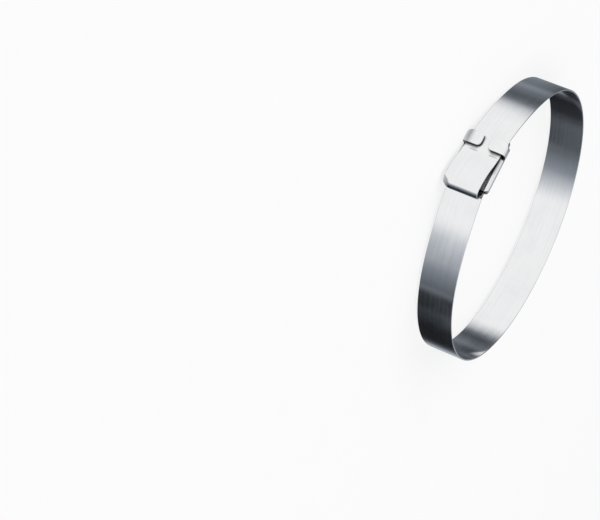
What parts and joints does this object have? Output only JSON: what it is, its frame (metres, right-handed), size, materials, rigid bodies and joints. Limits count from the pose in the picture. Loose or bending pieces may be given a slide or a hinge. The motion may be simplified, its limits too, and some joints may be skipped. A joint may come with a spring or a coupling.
{
  "type": "band clamp",
  "caption": "Steel strap band clamp: a closed loop of flat strap held by a folded sheet buckle with two ears over the turned-back end.",
  "frame": {"origin": "centre of the loop's bore, at the middle of the strap's width", "axes": "+Z along the loop's axis, up as it lies on its edge; -Y from the axis towards the buckle; +X towards the buckle's end where the strap folds back"},
  "size_m": [0.1486, 0.1602, 0.0226],
  "materials": {
    "strap_steel": "bright",
    "buckle_steel": "satin"
  },
  "bodies": {
    "root": {"strap": "strap_steel", "buckle": "buckle_steel"}
  },
  "joints": []
}
